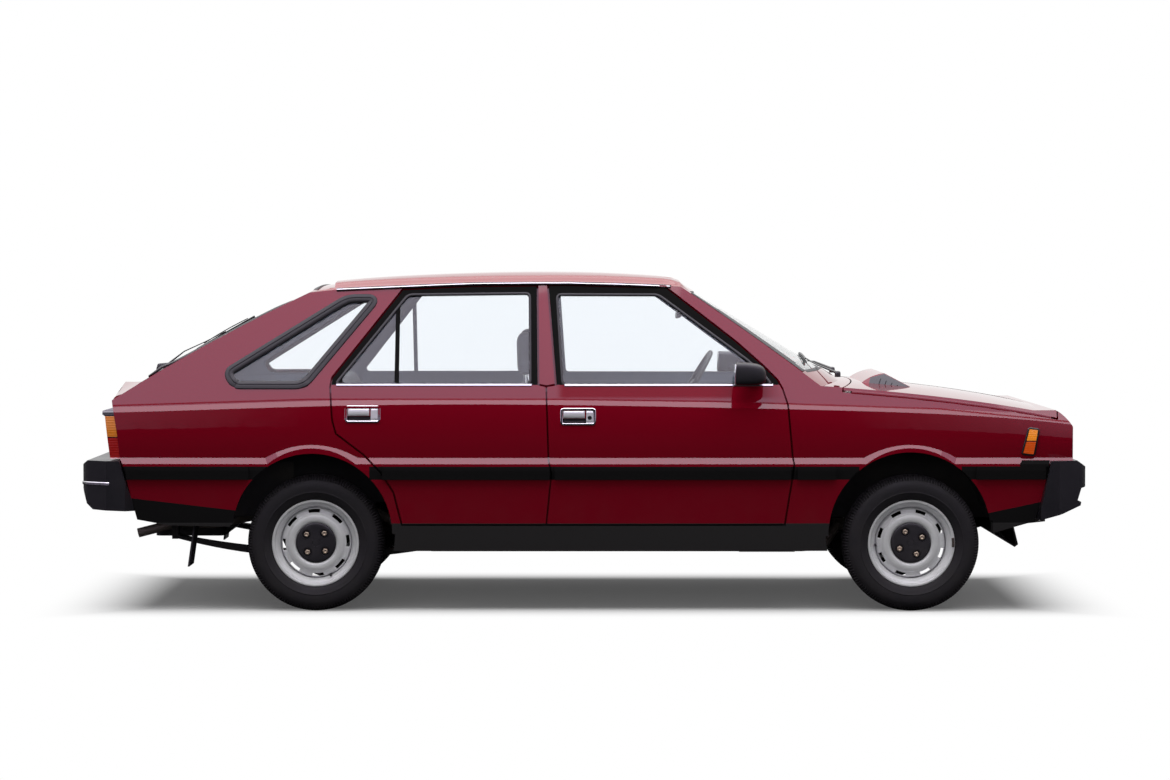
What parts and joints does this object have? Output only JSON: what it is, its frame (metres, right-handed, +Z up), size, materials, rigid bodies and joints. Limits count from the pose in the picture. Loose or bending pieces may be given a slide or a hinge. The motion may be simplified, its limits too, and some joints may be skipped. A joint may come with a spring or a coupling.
{
  "type": "five-door hatchback car",
  "caption": "Early-1980s five-door hatchback with doors, tailgate, bonnet, steering and free-rolling wheels.",
  "frame": {"origin": "on the ground under the middle of the car's length and width", "axes": "+X forward, +Y to the car's left, +Z up"},
  "size_m": [4.272, 1.796, 1.4237],
  "materials": {
    "paint": "gloss",
    "black_plastic": "matte",
    "underbody": "matte",
    "glass": "clear",
    "rubber": "matte",
    "wheel_silver": "satin",
    "lamp_glass": "clear",
    "lamp_red": "gloss",
    "lamp_amber": "gloss",
    "fabric": "matte",
    "engine": "rough",
    "steel": "satin"
  },
  "bodies": {
    "body": {"side_frame_left": "paint", "side_frame_right": "paint", "front_wing_left": "paint", "front_wing_right": "paint", "roof_panel": "paint", "nose_panel": "paint", "cowl_panel": "paint", "rear_panel": "paint", "fixed_windows": "glass", "floor_pan": "underbody", "engine_bay": "underbody", "front_bumper": "black_plastic", "rear_bumper": "black_plastic", "grille": "black_plastic", "headlamps": "lamp_glass", "tail_lamps": "lamp_red", "indicator_lamps": "lamp_amber", "dashboard": "black_plastic", "front_seats": "fabric", "rear_seat": "fabric", "front_suspension": "underbody", "rear_axle": "underbody", "drivetrain": "engine", "propshaft": "steel", "exhaust": "steel", "fuel_tank": "underbody", "leaf_springs": "underbody", "mud_flaps": "black_plastic", "under_tray": "underbody", "tow_brackets": "steel", "wipers": "black_plastic"},
    "front_door_left": {"front_door_left": "paint", "front_door_glass_left": "glass", "mirror_left": "black_plastic"},
    "rear_door_left": {"rear_door_left": "paint", "rear_door_glass_left": "glass"},
    "knuckle_left": {"knuckle_left": "steel"},
    "front_wheel_left": {"front_rim_left": "wheel_silver", "front_tyre_left": "rubber"},
    "rear_wheel_left": {"rear_rim_left": "wheel_silver", "rear_tyre_left": "rubber"},
    "front_door_right": {"front_door_right": "paint", "front_door_glass_right": "glass", "mirror_right": "black_plastic"},
    "rear_door_right": {"rear_door_right": "paint", "rear_door_glass_right": "glass"},
    "knuckle_right": {"knuckle_right": "steel"},
    "front_wheel_right": {"front_rim_right": "wheel_silver", "front_tyre_right": "rubber"},
    "rear_wheel_right": {"rear_rim_right": "wheel_silver", "rear_tyre_right": "rubber"},
    "bonnet": {"bonnet": "paint"},
    "tailgate": {"tailgate": "paint", "rear_window": "glass"},
    "steering_wheel": {"steering_wheel": "black_plastic"}
  },
  "joints": [
    {"name": "bonnet_hinge", "type": "hinge", "parent": "body", "child": "bonnet", "pos_m": [1.995, 0, 0.842], "axis": [0, 1, 0], "range_deg": [0, 60]},
    {"name": "tailgate_hinge", "type": "hinge", "parent": "body", "child": "tailgate", "pos_m": [-1.063, 0, 1.386], "axis": [0, 1, 0], "range_deg": [0, 75]},
    {"name": "front_door_left_hinge", "type": "hinge", "parent": "body", "child": "front_door_left", "pos_m": [0.876, 0.824, 0.7], "axis": [0, 0, -1], "range_deg": [0, 65]},
    {"name": "rear_door_left_hinge", "type": "hinge", "parent": "body", "child": "rear_door_left", "pos_m": [-0.138, 0.828, 0.7], "axis": [0, 0, -1], "range_deg": [0, 65]},
    {"name": "steer_left", "type": "hinge", "parent": "body", "child": "knuckle_left", "pos_m": [1.3755, 0.6, 0.2876], "axis": [0, -0.1045, 0.9945], "range_deg": [-32, 32]},
    {"name": "front_wheel_left_spin", "type": "hinge", "parent": "knuckle_left", "child": "front_wheel_left", "pos_m": [1.3755, 0.657, 0.2876], "axis": [0, 1, 0], "continuous": true},
    {"name": "rear_wheel_left_spin", "type": "hinge", "parent": "body", "child": "rear_wheel_left", "pos_m": [-1.1335, 0.646, 0.2876], "axis": [0, 1, 0], "continuous": true},
    {"name": "front_door_right_hinge", "type": "hinge", "parent": "body", "child": "front_door_right", "pos_m": [0.876, -0.824, 0.7], "axis": [0, 0, 1], "range_deg": [0, 65]},
    {"name": "rear_door_right_hinge", "type": "hinge", "parent": "body", "child": "rear_door_right", "pos_m": [-0.138, -0.828, 0.7], "axis": [0, 0, 1], "range_deg": [0, 65]},
    {"name": "steer_right", "type": "hinge", "parent": "body", "child": "knuckle_right", "pos_m": [1.3755, -0.6, 0.2876], "axis": [0, 0.1045, 0.9945], "range_deg": [-32, 32]},
    {"name": "front_wheel_right_spin", "type": "hinge", "parent": "knuckle_right", "child": "front_wheel_right", "pos_m": [1.3755, -0.657, 0.2876], "axis": [0, 1, 0], "continuous": true},
    {"name": "rear_wheel_right_spin", "type": "hinge", "parent": "body", "child": "rear_wheel_right", "pos_m": [-1.1335, -0.646, 0.2876], "axis": [0, 1, 0], "continuous": true},
    {"name": "steering_wheel_turn", "type": "hinge", "parent": "body", "child": "steering_wheel", "pos_m": [0.48, 0.358, 0.9], "axis": [-0.866, 0, 0.5], "range_deg": [-520, 520]}
  ],
  "couplings": [
    {"joint": "steer_right", "follows": "steer_left", "ratio": 1},
    {"joint": "steering_wheel_turn", "follows": "steer_left", "ratio": 16}
  ]
}
